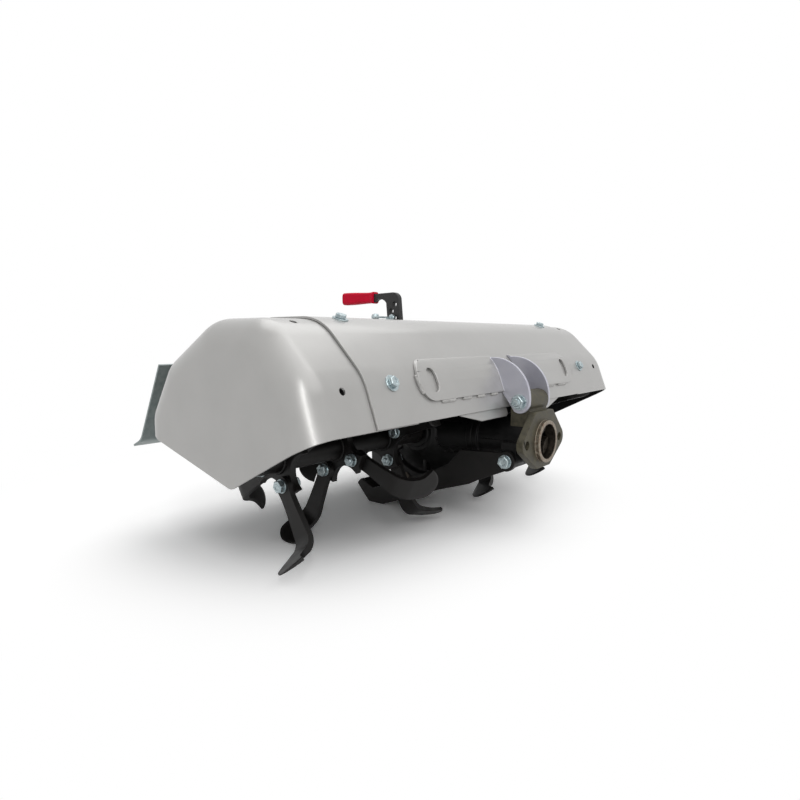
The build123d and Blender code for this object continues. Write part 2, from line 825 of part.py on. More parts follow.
# ------------------------------------------------------------------ rear flap
with BuildPart() as flap:
    with BuildSketch(side(-flap_half)):
        with BuildLine():
            sheet_between(
                [(*flap_point(0, flap_inner), 0), (*lip_start, 20), (*lip_end, 0)],
                -flap_sheet,
                flap_sheet,
            )
        make_face()
    extrude(amount=2 * flap_half)
    for x in flap_hinges_x:
        with BuildSketch(side(x - hinge_half_gap + stop_gap)):
            with Locations(flap_pin):
                Circle(flap_knuckle_radius)
        extrude(amount=2 * (hinge_half_gap - stop_gap))
        with BuildSketch(side(x - hinge_half_gap)):
            with Locations(flap_pin):
                Circle(flap_pin_radius + running_gap)
        extrude(amount=2 * hinge_half_gap, mode=Mode.SUBTRACT)
save(flap, "rear_flap")

# hinge straps on the flap's outer face
with BuildPart() as straps:
    for x in flap_hinges_x:
        with BuildSketch(side(x - strap_width / 2)):
            face = flap_inner + flap_sheet
            with BuildLine():
                Polyline(
                    flap_point(strap_start, face),
                    flap_point(strap_start, face + strap_thickness),
                    flap_point(strap_end - strap_thickness, face + strap_thickness),
                    flap_point(strap_end, face),
                    close=True,
                )
            make_face()
        extrude(amount=strap_width)
save(straps, "flap_straps")

stop_radius = 6.0
with BuildPart() as hinges:
    for x in flap_hinges_x:
        for cheek_x in (x - hinge_half_gap - hinge_cheek, x + hinge_half_gap):
            with BuildSketch(side(cheek_x)):
                with Locations(flap_pin):
                    Circle(flap_inner - 0.5)
                with Locations(flap_point(38, flap_inner - stop_gap - stop_radius)):
                    Circle(stop_radius)
                with Locations((122, 112), (138, 90)):
                    Circle(8)
                make_hull()
            extrude(amount=hinge_cheek)
        with BuildSketch(side(x - hinge_half_gap)):
            with Locations(flap_pin):
                Circle(flap_pin_radius)
        extrude(amount=2 * hinge_half_gap)
    add(hood_form.part, mode=Mode.SUBTRACT)
save(hinges, "flap_hinges")
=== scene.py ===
"""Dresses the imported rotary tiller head: paint, castings, fasteners, weld beads, light and camera.

Sizes in the classes of the sub-assemblies are millimetres, and the studio's are metres. X runs
across the working width, -Y towards the coupling and +Z up. A (y, z) pair is measured from the
rotor's axle.
"""

import bmesh
import bpy
import json
import logging
import math
from dataclasses import dataclass
from enum import Enum
from mathutils import Matrix, Vector
from mathutils.bvhtree import BVHTree
from typing import Callable, Iterable

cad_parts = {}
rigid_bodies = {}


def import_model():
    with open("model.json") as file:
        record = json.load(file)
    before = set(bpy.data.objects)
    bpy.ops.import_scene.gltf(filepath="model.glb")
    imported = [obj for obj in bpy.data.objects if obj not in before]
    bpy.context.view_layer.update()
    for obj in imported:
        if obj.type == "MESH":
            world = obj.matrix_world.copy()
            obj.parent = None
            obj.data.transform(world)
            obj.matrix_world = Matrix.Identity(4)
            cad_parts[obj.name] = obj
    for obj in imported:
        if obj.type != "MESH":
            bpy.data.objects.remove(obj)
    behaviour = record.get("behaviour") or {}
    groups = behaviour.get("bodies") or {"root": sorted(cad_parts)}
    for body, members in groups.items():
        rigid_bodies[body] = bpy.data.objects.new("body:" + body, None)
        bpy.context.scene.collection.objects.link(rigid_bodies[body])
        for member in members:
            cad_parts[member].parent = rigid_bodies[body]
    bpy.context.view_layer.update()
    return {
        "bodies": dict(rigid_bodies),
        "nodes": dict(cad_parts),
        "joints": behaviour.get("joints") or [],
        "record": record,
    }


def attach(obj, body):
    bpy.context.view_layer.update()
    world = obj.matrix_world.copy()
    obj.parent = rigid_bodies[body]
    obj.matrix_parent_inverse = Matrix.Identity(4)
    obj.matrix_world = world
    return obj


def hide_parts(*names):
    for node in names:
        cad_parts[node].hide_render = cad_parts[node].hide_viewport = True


LOG = logging.getLogger("tiller")
MM = 0.001
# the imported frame, filled by main before anything is built
FRAME: dict[str, object] = {}
LEFT, RIGHT, FORWARD = Vector((-1, 0, 0)), Vector((1, 0, 0)), Vector((0, -1, 0))
SIDES = ((-1, "left"), (1, "right"))


# ---------------------------------------------------------------------------- colour and nodes
def linear(hex_colour: str, alpha: float = 1.0) -> tuple[float, float, float, float]:
    """Turns an sRGB hex colour into the linear values that shaders take.

    Args:
        hex_colour: six hex digits, with or without a leading #.
        alpha: opacity of the result.

    Returns:
        Linear red, green, blue and alpha.
    """
    digits = hex_colour.lstrip("#")
    channels = [int(digits[i:i + 2], 16) / 255 for i in (0, 2, 4)]
    red, green, blue = [c / 12.92 if c <= 0.04045 else ((c + 0.055) / 1.055) ** 2.4 for c in channels]
    return red, green, blue, alpha


def add_node(
    tree: bpy.types.NodeTree,
    kind: str,
    settings: dict[str, object] | None = None,
    links: dict[str, object] | None = None,
) -> bpy.types.Node:
    """Adds one shader node with its settings and incoming links.

    Args:
        tree: the material's or world's node tree.
        kind: the node's type name.
        settings: attribute names, or socket names with a leading "=", and their values.
        links: input names or numbers, and the output socket that feeds each.

    Returns:
        The new node.
    """
    node = tree.nodes.new(kind)
    for name, value in (settings or {}).items():
        if name.startswith("="):
            key = name[1:]
            node.inputs[int(key) if key.isdigit() else key].default_value = value
        else:
            setattr(node, name, value)
    for name, output in (links or {}).items():
        tree.links.new(output, node.inputs[int(name) if name.isdigit() else name])
    return node


def ramp(node: bpy.types.Node, stops: Iterable[tuple[float, tuple[float, float, float, float]]]) -> bpy.types.Node:
    """Sets a colour ramp's stops.

    Args:
        node: a Color Ramp node.
        stops: place and colour of each stop, in order.

    Returns:
        The same node.
    """
    elements = node.color_ramp.elements
    stops = list(stops)
    while len(elements) < len(stops):
        elements.new(1.0)
    for element, (place, colour) in zip(elements, stops):
        element.position = place
        element.color = colour
    return node


@dataclass(frozen=True)
class Finish:
    """A surface finish: the material's common name, base colours and how its surface was made."""

    name: str
    base: str
    shade: str
    metallic: float
    roughness: float
    roughness_spread: float
    mottle_mm: float
    bump_mm: float
    bump_depth_mm: float
    specular: float = 0.5
    coat: float = 0.0
    coat_roughness: float = 0.1

    def material(self) -> bpy.types.Material:
        """Builds the material: two-tone mottle, uneven gloss and a fine surface relief.

        Returns:
            The finished material, ready to be put on a piece.
        """
        made = bpy.data.materials.get(self.name)
        if made:
            return made
        made = bpy.data.materials.new(self.name)
        made.use_nodes = True
        tree = made.node_tree
        tree.nodes.clear()
        place = add_node(tree, "ShaderNodeTexCoord").outputs["Object"]
        mottle = add_node(
            tree, "ShaderNodeTexNoise",
            {"=Scale": 1 / (self.mottle_mm * MM), "=Detail": 4.0, "=Roughness": 0.55},
            {"Vector": place},
        ).outputs["Fac"]
        colour = self.colour(tree, place, mottle)
        gloss = add_node(
            tree, "ShaderNodeMapRange",
            {"=From Min": 0.3, "=From Max": 0.7,
             "=To Min": self.roughness - self.roughness_spread,
             "=To Max": self.roughness + self.roughness_spread},
            {"Value": mottle},
        ).outputs["Result"]
        relief = self.relief(tree, place)
        shader = add_node(
            tree, "ShaderNodeBsdfPrincipled",
            {"=Metallic": self.metallic, "=Specular IOR Level": self.specular,
             "=Coat Weight": self.coat, "=Coat Roughness": self.coat_roughness},
            {"Base Color": colour, "Roughness": gloss, "Normal": relief},
        )
        add_node(tree, "ShaderNodeOutputMaterial", {}, {"Surface": shader.outputs["BSDF"]})
        return made

    def colour(self, tree: bpy.types.NodeTree, place: object, mottle: object) -> object:
        """Mixes the two base tones by the mottle.

        Args:
            tree: the material's node tree.
            place: Object coordinates, not used.
            mottle: the slow noise.

        Returns:
            A colour socket.
        """
        return ramp(
            add_node(tree, "ShaderNodeValToRGB", {}, {"Fac": mottle}),
            ((0.32, linear(self.shade)), (0.62, linear(self.base))),
        ).outputs["Color"]

    def relief(self, tree: bpy.types.NodeTree, place: object) -> object:
        """Adds the fine surface relief.

        Args:
            tree: the material's node tree.
            place: Object coordinates.

        Returns:
            A normal socket.
        """
        grain = add_node(
            tree, "ShaderNodeTexNoise",
            {"=Scale": 1 / (self.bump_mm * MM), "=Detail": 2.0},
            {"Vector": place},
        ).outputs["Fac"]
        return add_node(
            tree, "ShaderNodeBump",
            {"=Strength": 0.6, "=Distance": self.bump_depth_mm * MM},
            {"Height": grain},
        ).outputs["Normal"]


# ---------------------------------------------------------------------------- finishes
# silver stoving paint on pressed steel: aluminium flake gives a broad sheen, orange peel softens it
SILVER_PAINT = Finish(
    "silver_stoving_paint", "#ACABA9", "#A7A6A4", 0.5, 0.36, 0.03, 70, 2.4, 0.02, coat=0.3, coat_roughness=0.14,
)
# the same paint on the bent ears of the hitch plates, made lighter and a touch violet as a painted reflection, and
# glossier on the flats
EAR_PAINT_VIOLET_REFLECTION = Finish(
    "silver_ear_paint_violet_reflection", "#B9B9C2", "#B2B2BD", 0.5, 0.34, 0.04, 30, 2.0, 0.02, coat=0.3, coat_roughness=0.14,
)
# black chassis enamel, satin, with the rolled or forged skin just felt through it
BLACK_ENAMEL = Finish("black_chassis_enamel", "#171514", "#0E0D0C", 0.0, 0.47, 0.07, 18, 1.6, 0.09, specular=0.28)
# black enamel over a sand casting, coarser skin and greasier
CAST_ENAMEL = Finish("black_enamel_on_casting", "#0F0E0E", "#080808", 0.0, 0.48, 0.08, 12, 1.3, 0.22, specular=0.26)
# painted shade: the hood's inside is made near black for the shade under it, dull with spray dust
HOOD_INSIDE_SHADE = Finish("black_inside_painted_shade", "#0C0C0C", "#060606", 0.0, 0.68, 0.05, 40, 2.0, 0.05, specular=0.2)
# raw sand casting, greased: olive grey with a coarse skin
SAND_CASTING = Finish("greased_sand_casting", "#504C3C", "#383429", 0.3, 0.52, 0.08, 9, 1.2, 0.2)
# turned steel with a thin rust bloom
TURNED_STEEL = Finish("turned_steel", "#8F8779", "#6E5A4C", 0.85, 0.34, 0.06, 5, 1.0, 0.02)
# dark steel of the input dog, oiled
OILED_STEEL = Finish("oiled_dark_steel", "#4A443C", "#332E29", 0.7, 0.36, 0.06, 6, 1.0, 0.03)
# bright zinc plate on fasteners, cold white with a blue cast
ZINC_PLATE = Finish("bright_zinc_plate", "#BAC6C8", "#93A1A6", 0.8, 0.3, 0.06, 5, 0.9, 0.012)
# red PVC grip, moulded
RED_PVC = Finish("red_pvc_grip", "#D81035", "#CC0E30", 0.0, 0.5, 0.04, 12, 1.4, 0.02, specular=0.12)
# blackened lever plate
LEVER_STEEL = Finish("blackened_lever_plate", "#2A2929", "#222121", 0.2, 0.5, 0.06, 10, 1.2, 0.04)
# galvanised sheet of the flap, dull with fine spangle
GALVANISED = Finish("galvanised_sheet", "#8F9897", "#7E8887", 0.5, 0.44, 0.06, 9, 3.0, 0.03)
# weld metal left bright under a thin coat of paint
WELD_BEAD = Finish("painted_weld_bead", "#B4B3B1", "#9A9997", 0.5, 0.36, 0.08, 4, 0.8, 0.08)
# nitrile rubber of the shaft seals
SEAL_RUBBER = Finish("nitrile_rubber", "#171717", "#101010", 0.0, 0.6, 0.05, 8, 0.8, 0.03)


def dress(finish: Finish, *nodes: str) -> None:
    """Puts a finish on CAD nodes.

    Args:
        finish: the finish to build.
        nodes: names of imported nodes.
    """
    for name in nodes:
        mesh = FRAME["nodes"][name].data
        mesh.materials.clear()
        mesh.materials.append(finish.material())


# ---------------------------------------------------------------------------- modelling
def aimed(place: Vector, direction: Vector, roll: float = 0.0) -> Matrix:
    """Places local +Z along a direction.

    Args:
        place: the new origin.
        direction: where local +Z points.
        roll: turn about that direction, in degrees.

    Returns:
        The placing matrix.
    """
    turn = direction.to_track_quat("Z", "Y").to_matrix().to_4x4()
    return Matrix.Translation(place) @ turn @ Matrix.Rotation(math.radians(roll), 4, "Z")


def turned(profile: Iterable[tuple[float, float]], steps: int = 40) -> bmesh.types.BMesh:
    """Turns a profile about Z; six steps make a hexagonal form of it.

    Args:
        profile: (radius, height) from the bottom of the axis round to its top, in millimetres.
        steps: sides of the turned form.

    Returns:
        The closed form.
    """
    form = bmesh.new()
    chain = [form.verts.new((radius * MM, 0.0, height * MM)) for radius, height in profile]
    edges = [form.edges.new(pair) for pair in zip(chain, chain[1:])]
    bmesh.ops.spin(
        form, geom=chain + edges, cent=(0, 0, 0), axis=(0, 0, 1), angle=math.tau, steps=steps, use_merge=True,
    )
    bmesh.ops.remove_doubles(form, verts=form.verts[:], dist=1e-6)
    bmesh.ops.recalc_face_normals(form, faces=form.faces[:])
    return form


def moved(form: bmesh.types.BMesh, place: Matrix, finish: int = 0) -> bmesh.types.BMesh:
    """Places a form and gives its faces a finish.

    Args:
        form: the form, changed in place.
        place: the placing matrix.
        finish: number of the finish among the piece's own.

    Returns:
        The same form.
    """
    bmesh.ops.transform(form, matrix=place, verts=form.verts[:])
    for face in form.faces:
        face.material_index = finish
    return form


def joined(forms: Iterable[bmesh.types.BMesh]) -> bmesh.types.BMesh:
    """Gathers several forms in one.

    Args:
        forms: the forms, freed afterwards.

    Returns:
        One form with all their faces.
    """
    whole = bmesh.new()
    spare = bpy.data.meshes.new("spare")
    for form in forms:
        form.to_mesh(spare)
        form.free()
        whole.from_mesh(spare)
    bpy.data.meshes.remove(spare)
    return whole


def shaded(mesh: bpy.types.Mesh, crease: float) -> None:
    """Shades a mesh smooth but for edges sharper than the crease.

    Args:
        mesh: the mesh to shade.
        crease: smallest sharp angle, in degrees.
    """
    mesh.polygons.foreach_set("use_smooth", [True] * len(mesh.polygons))
    mesh.set_sharp_from_angle(angle=math.radians(crease))


def piece(
    name: str,
    form: bmesh.types.BMesh,
    body: str,
    finishes: Iterable[Finish],
    crease: float = 35.0,
) -> bpy.types.Object:
    """Makes a finished form one named piece of the part.

    Args:
        name: the piece's name.
        form: its form, freed afterwards.
        body: the body that it moves with.
        finishes: its finishes, in the order its faces number them.
        crease: smallest angle that stays sharp, in degrees.

    Returns:
        The new object.
    """
    mesh = bpy.data.meshes.new(name)
    form.to_mesh(mesh)
    form.free()
    for finish in finishes:
        mesh.materials.append(finish.material())
    shaded(mesh, crease)
    made = bpy.data.objects.new(name, mesh)
    bpy.context.scene.collection.objects.link(made)
    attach(made, body)
    LOG.info("%s: %d faces on %s", name, len(mesh.polygons), body)
    return made


def rounded(made: bpy.types.Object, width: float, crease: float) -> bpy.types.Modifier:
    """Rounds a piece's edges.

    Args:
        made: the piece.
        width: how far the rounding reaches in from an edge, in millimetres.
        crease: smallest angle that is rounded, in degrees.

    Returns:
        The bevel modifier.
    """
    bevel = made.modifiers.new("rounded_edges", "BEVEL")
    bevel.width = width * MM
    bevel.segments = 2
    bevel.limit_method = "ANGLE"
    bevel.angle_limit = math.radians(crease)
    bevel.harden_normals = True
    return bevel


def softened(
    node: str,
    body: str,
    finishes: Iterable[Finish],
    width: float,
    choose: Callable[[Vector, Vector], int] | None = None,
    crease: float = 32.0,
) -> bpy.types.Object:
    """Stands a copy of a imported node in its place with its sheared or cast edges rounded.

    Args:
        node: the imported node.
        body: the body that it moves with.
        finishes: the finishes of its faces.
        width: how far the rounding reaches in from an edge, in millimetres.
        choose: gives a face's finish from its middle and its normal.
        crease: smallest angle that is rounded, in degrees.

    Returns:
        The piece that replaces the node.
    """
    form = bmesh.new()
    form.from_mesh(FRAME["nodes"][node].data)
    bmesh.ops.remove_doubles(form, verts=form.verts[:], dist=2e-6)
    bmesh.ops.dissolve_limit(
        form, angle_limit=math.radians(0.4), verts=form.verts[:], edges=form.edges[:], delimit={"NORMAL"},
    )
    for face in form.faces:
        face.material_index = choose(face.calc_center_median(), face.normal) if choose else 0
    made = piece(f"{node}_finished", form, body, finishes, crease)
    bevel = rounded(made, width, crease)
    bevel.use_clamp_overlap = False
    bevel.miter_outer = "MITER_ARC"
    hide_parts(node)
    return made


def bead(points: list[Vector], radius: float, ripple: float = 1.6) -> bmesh.types.BMesh:
    """Lays a weld bead along a line, its ripples a real spacing apart.

    Args:
        points: corners of the line.
        radius: half the bead's width, in millimetres.
        ripple: spacing of its ripples, in millimetres.

    Returns:
        The bead's form.
    """
    curve = bpy.data.curves.new("bead", "CURVE")
    curve.dimensions = "3D"
    curve.bevel_depth = radius * MM
    curve.bevel_resolution = 2
    curve.use_fill_caps = True
    places: list[Vector] = []
    for start, end in zip(points, points[1:]):
        count = max(2, round((end - start).length / (ripple * MM) * 2))
        places += [start.lerp(end, i / count) for i in range(count)]
    places.append(points[-1])
    line = curve.splines.new("POLY")
    line.points.add(len(places) - 1)
    for i, (point, place) in enumerate(zip(line.points, places)):
        point.co = (*place, 1.0)
        ending = min(i, len(places) - 1 - i)
        point.radius = (1.0 if i % 2 else 0.8) * min(1.0, 0.45 + 0.3 * ending)
    holder = bpy.data.objects.new("bead", curve)
    mesh = bpy.data.meshes.new_from_object(holder)
    form = bmesh.new()
    form.from_mesh(mesh)
    bpy.data.objects.remove(holder)
    bpy.data.curves.remove(curve)
    bpy.data.meshes.remove(mesh)
    bmesh.ops.remove_doubles(form, verts=form.verts[:], dist=1e-6)
    bmesh.ops.recalc_face_normals(form, faces=form.faces[:])
    return form


def ring_bead(place: Vector, axis: Vector, ring: float, radius: float) -> bmesh.types.BMesh:
    """Lays a weld bead round a tube.

    Args:
        place: middle of the ring.
        axis: the tube's axis.
        ring: radius of the ring, in millimetres.
        radius: half the bead's width, in millimetres.

    Returns:
        The bead's form.
    """
    frame = aimed(place, axis)
    steps = 28
    corners = [
        frame @ Vector((ring * MM * math.cos(math.tau * i / steps), ring * MM * math.sin(math.tau * i / steps), 0))
        for i in range(steps + 1)
    ]
    return bead(corners, radius, 2.2)


class Head(Enum):
    """What stands on a fastener's washer."""

    BOLT = "bolt head"
    NUT = "nut with the bolt's end through it"
    FLANGE_BOLT = "bolt head on its own flange"
    DOME = "domed head"


@dataclass(frozen=True)
class Fastener:
    """A metric fastener as it stands on a surface. Sizes in millimetres."""

    thread: float
    flats: float
    height: float
    washer_radius: float
    washer_height: float
    thread_out: float = 0.0

    def form(self, head: Head, place: Vector, direction: Vector, roll: float = 0.0) -> bmesh.types.BMesh:
        """Builds the fastener on a surface.

        Args:
            head: what stands on the washer.
            place: point of the surface under its middle.
            direction: the surface's outward normal.
            roll: turn of the hexagon, in degrees.

        Returns:
            The placed form, its washer included.
        """
        corner = self.flats / math.sqrt(3)
        low = self.washer_height
        top = low + self.height
        rim, chamfer = self.washer_radius, 0.12 * self.height
        forms = [turned([
            (0, -0.2), (rim, -0.2), (rim, low - 0.35), (rim - 0.35, low), (0, low),
        ], 32)]
        if head is Head.FLANGE_BOLT:
            forms.append(turned([
                (0, low), (corner * 1.22, low), (corner * 1.22, low + 0.8), (corner * 0.95, low + 1.9), (0, low + 1.9),
            ], 32))
        if head is Head.DOME:
            steps = 7
            forms.append(turned([(0, low)] + [
                (corner * math.cos(math.pi / 2 * i / steps), low + self.height * math.sin(math.pi / 2 * i / steps))
                for i in range(steps)
            ] + [(0, top)], 32))
        elif head is Head.NUT:
            hole = self.thread / 2
            forms.append(turned([
                (hole, low), (corner * 0.93, low), (corner, low + chamfer), (corner, top - chamfer),
                (corner * 0.9, top), (hole + 0.4, top), (hole, top - 0.5), (hole, low),
            ], 6))
            forms.append(self.threaded(low, top + self.thread_out))
        else:
            dish = 0.45 * corner
            forms.append(turned([
                (0, low), (corner * 0.93, low), (corner, low + chamfer), (corner, top - chamfer), (corner * 0.88, top),
                (dish + 0.5, top), (dish, top - 0.35), (0, top - 0.35),
            ], 6))
        return moved(joined(forms), aimed(place, direction, roll))

    def threaded(self, low: float, top: float) -> bmesh.types.BMesh:
        """Builds the bolt's threaded end.

        Args:
            low: where it starts, in millimetres.
            top: where it ends.

        Returns:
            The thread's form, ring by ring.
        """
        radius, pitch = self.thread / 2, 1.25
        rings = [(0.0, low), (radius - 0.6, low)]
        height = low + pitch
        while height < top - 1.0:
            rings += [(radius - 0.1, height - pitch / 2), (radius - 0.65, height)]
            height += pitch
        return turned(rings + [(radius - 1.0, top), (0.0, top)], 24)


M8 = Fastener(8.0, 13.0, 5.3, 10.5, 1.6)
M8_NUT = Fastener(8.0, 13.0, 6.4, 8.4, 1.4, 3.0)
M8_CASE = Fastener(8.0, 13.0, 5.3, 7.5, 0.6)
M10_TINE = Fastener(10.0, 15.0, 6.0, 9.2, 1.6, 3.0)
M12_HITCH = Fastener(12.0, 18.0, 7.0, 12.0, 2.2, 3.4)
M12_SKID = Fastener(12.0, 16.5, 5.8, 10.4, 1.8)
M10_END = Fastener(10.0, 15.0, 5.0, 14.0, 2.0)
SPRING_PIN = Fastener(6.0, 9.0, 3.0, 5.2, 0.8)


@dataclass(frozen=True)
class Skin:
    """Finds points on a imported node's surface."""

    nodes: tuple[str, ...]

    def hit(self, start: Vector, direction: Vector) -> tuple[Vector, Vector]:
        """Casts a line at the nodes.

        Args:
            start: where the line starts.
            direction: where it points.

        Returns:
            The nearest point that it meets and the surface's outward normal there.
        """
        best: tuple[float, Vector, Vector] | None = None
        for name in self.nodes:
            form = bmesh.new()
            form.from_mesh(FRAME["nodes"][name].data)
            tree = BVHTree.FromBMesh(form)
            place, normal, _, distance = tree.ray_cast(start, direction.normalized())
            form.free()
            if place is not None and (best is None or distance < best[0]):
                best = (distance, place, normal)
        if best is None:
            raise ValueError(f"nothing of {self.nodes} lies that way")
        normal = best[2] if best[2].dot(direction) < 0 else -best[2]
        return best[1], normal

    def outside(self, axle: Vector, x: float, angle: float) -> tuple[Vector, Vector]:
        """Finds the skin from outside, in a section across the axle.

        Args:
            axle: middle of the rotor's axle.
            x: the section's place, in metres.
            angle: direction from the axle, in degrees from +Y towards +Z.

        Returns:
            The point and its outward normal.
        """
        way = Vector((0, math.cos(math.radians(angle)), math.sin(math.radians(angle))))
        middle = Vector((x, axle.y, axle.z))
        return self.hit(middle + way * 0.45, -way)

    def inside(self, axle: Vector, x: float, angle: float) -> tuple[Vector, Vector]:
        """Finds the skin from the axle's side.

        Args:
            axle: middle of the rotor's axle.
            x: the section's place, in metres.
            angle: direction from the axle, in degrees from +Y towards +Z.

        Returns:
            The point and the normal that faces the axle.
        """
        way = Vector((0, math.cos(math.radians(angle)), math.sin(math.radians(angle))))
        middle = Vector((x, axle.y, axle.z))
        return self.hit(middle + way * 0.03, way)


# ---------------------------------------------------------------------------- sub-assemblies
@dataclass(frozen=True)
class Places:
    """Places that the sub-assemblies share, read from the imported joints."""

    axle: Vector
    skid_pivot: Vector
    flap_pin: Vector

    def at(self, x: float, y: float, z: float) -> Vector:
        """Gives a point from its distances from the axle, in millimetres.

        Args:
            x: across the working width.
            y: towards the flap.
            z: up.

        Returns:
            The point in metres.
        """
        return self.axle + Vector((x, y, z)) * MM


@dataclass(frozen=True)
class Hood:
    """Centre hood and its two end wings, silver outside and black inside as painted shade, with their bolts."""

    places: Places
    edge: float = 0.5
    bolt_x: float = 285.0
    bolt_angles: tuple[float, ...] = (145.1, 108.9, 63.6, 32.2)
    wing_eye_x: float = 250.0

    def inside_or_out(self, middle_x: float) -> Callable[[Vector, Vector], int]:
        """Makes the choice between the outer paint and the inner black, which is painted shade.

        Args:
            middle_x: where the shell's inside is looked at from, in millimetres.

        Returns:
            A function that gives 1 for faces that look inwards.
        """
        centre = self.places.at(middle_x, 0, 0)

        def choose(place: Vector, normal: Vector) -> int:
            """Returns 1 where the face looks towards the inside."""
            return 1 if normal.dot((place - centre).normalized()) < -0.25 else 0

        return choose

    def shells(self) -> None:
        """Rounds the sheared edges and paints both sides, the inside black as painted shade."""
        # the inside's black stands in for the shade under the hood: painted shade
        paints = (SILVER_PAINT, HOOD_INSIDE_SHADE)
        softened("hood_center", "frame", paints, self.edge, self.inside_or_out(0.0))
        for side, name in SIDES:
            choose = self.inside_or_out(side * self.wing_eye_x)
            softened(f"wing_{name}", "frame", paints, self.edge, choose)

    def bolts(self) -> None:
        """Bolts the wings to the centre hood, with nuts inside."""
        outer, inner = Skin(("hood_center",)), Skin(("wing_left", "wing_right"))
        for side, name in SIDES:
            x = side * self.bolt_x * MM
            forms = []
            for number, angle in enumerate(self.bolt_angles):
                place, normal = outer.outside(self.places.axle, x, angle)
                forms.append(M8.form(Head.BOLT, place, normal, 20.0 + 17 * number))
                place, normal = inner.inside(self.places.axle, x, angle)
                forms.append(M8_NUT.form(Head.NUT, place, normal, 11.0 * number))
            piece(f"wing_bolts_{name}", joined(forms), "frame", (ZINC_PLATE,), 28.0)

    def build(self) -> None:
        """Builds the whole hood."""
        self.shells()
        self.bolts()


@dataclass(frozen=True)
class HitchBrackets:
    """Welded pads with their ears, the stiffeners behind them and the hitch bolt."""

    places: Places
    edge: float = 1.1
    pad_low: float = 75.0
    pad_high: float = 128.0
    pad_end: float = 235.0
    ear_outer: float = 35.0
    pin: tuple[float, float] = (-185.0, 60.0)
    stitches: tuple[tuple[float, float], ...] = ((52, 70), (88, 108), (124, 146), (164, 196))
    stitch_radius: float = 3.0
    end_bead_radius: float = 2.9
    bolt_radius: float = 6.0

    def skin_line(self, skin: Skin, x: float, z: float) -> Vector:
        """Finds the hood's front skin at a height.

        Args:
            skin: the hood's surface.
            x: across the width, in millimetres.
            z: above the axle, in millimetres.

        Returns:
            The point on the skin.
        """
        return skin.hit(self.places.at(x, -300, z), Vector((0, 1, 0)))[0]

    def plates(self) -> None:
        """Rounds the plates' cut edges."""
        def ear_reflection_or_pad(place: Vector, normal: Vector) -> int:
            """Returns 1 on the ears, whose paint is made lighter and a touch violet as a painted reflection."""
            return 1 if abs(place.x) < (self.ear_outer + 1) * MM else 0

        # the ears' lighter, violet paint is a painted reflection
        paints = (SILVER_PAINT, EAR_PAINT_VIOLET_REFLECTION)
        for _, name in SIDES:
            softened(f"hitch_bracket_{name}", "frame", paints, self.edge, ear_reflection_or_pad)
            softened(f"front_stiffener_{name}", "frame", (SILVER_PAINT,), self.edge)

    def welds(self) -> None:
        """Lays the stitch welds along the lower edge of each pad and round its end."""
        skin = Skin(("hood_center",))
        half = (self.pad_high - self.pad_low) / 2 - 1
        middle = (self.pad_high + self.pad_low) / 2
        for side, name in SIDES:
            forms = []
            for start, end in self.stitches:
                line = [self.skin_line(skin, side * x, self.pad_low - 1.6) for x in (start, (start + end) / 2, end)]
                forms.append(bead([point + Vector((0, -0.0008, 0)) for point in line], self.stitch_radius))
            arc = []
            for angle in range(-38, 20, 6):
                x = self.pad_end - half + (half + 1.0) * math.cos(math.radians(angle))
                z = middle + (half + 1.0) * math.sin(math.radians(angle))
                arc.append(self.skin_line(skin, side * x, z) + Vector((0, -0.0014, 0)))
            forms.append(bead(arc, self.end_bead_radius))
            piece(f"bracket_welds_{name}", joined(forms), "frame", (WELD_BEAD,), 50.0)

    def hitch_bolt(self) -> None:
        """Puts the cross bolt through the ears, its nut on the left."""
        y, z = self.pin
        radius, half = self.bolt_radius, self.ear_outer + 1
        shank = turned([(0, -half), (radius, -half), (radius, half), (0, half)], 32)
        forms = [
            moved(shank, aimed(self.places.at(0, y, z), RIGHT)),
            M12_HITCH.form(Head.NUT, self.places.at(-self.ear_outer, y, z), LEFT, 12.0),
            M12_HITCH.form(Head.BOLT, self.places.at(self.ear_outer, y, z), RIGHT, 5.0),
        ]
        made = piece("hitch_bolt_and_nut", joined(forms), "frame", (ZINC_PLATE,), 28.0)
        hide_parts("hitch_bolt")

    def build(self) -> None:
        """Builds the brackets and their bolt."""
        self.plates()
        self.welds()
        self.hitch_bolt()


@dataclass(frozen=True)
class Coupling:
    """Flange casting, neck, dog and seal."""

    places: Places
    face_y: float = -210.0
    bore: float = 26.25
    pilot: float = 32.0
    seal_y: float = -160.0
    seal: tuple[tuple[float, float], ...] = (
        (24.5, 0), (30.4, 0), (30.4, 7), (28.0, 7), (26.5, 5.2), (24.5, 6.0), (24.5, 0),
    )
    weld_y: float = -196.5
    weld_ring: float = 37.4

    def cast_or_turned(self, place: Vector, normal: Vector) -> int:
        """Chooses between the flange's cast skin and its machined faces.

        Args:
            place: the face's middle.
            normal: its normal, not used.

        Returns:
            1 for the machined pilot ring, 2 for the shaded bore and 0 elsewhere.
        """
        local = (place - self.places.axle) / MM
        radius = math.hypot(local.x, local.z)
        if radius < self.bore + 0.6 and local.y > self.face_y + 1.5:
            return 2
        return 1 if radius < self.pilot + 0.6 and local.y < self.face_y + 0.2 else 0

    def build(self) -> None:
        """Builds the coupling."""
        softened(
            "coupling_flange", "frame", (SAND_CASTING, TURNED_STEEL, OILED_STEEL), 1.1,
            self.cast_or_turned, 28.0,
        )
        softened("input_neck", "frame", (CAST_ENAMEL,), 1.2)
        softened("input_dog", "input", (OILED_STEEL,), 0.7)
        seal = moved(turned(self.seal, 48), aimed(self.places.at(0, self.seal_y, 0), FORWARD))
        piece("input_seal", seal, "frame", (SEAL_RUBBER,))
        weld = ring_bead(self.places.at(0, self.weld_y, 0), FORWARD, self.weld_ring, 2.4)
        piece("neck_weld", weld, "frame", (CAST_ENAMEL,), 50.0)


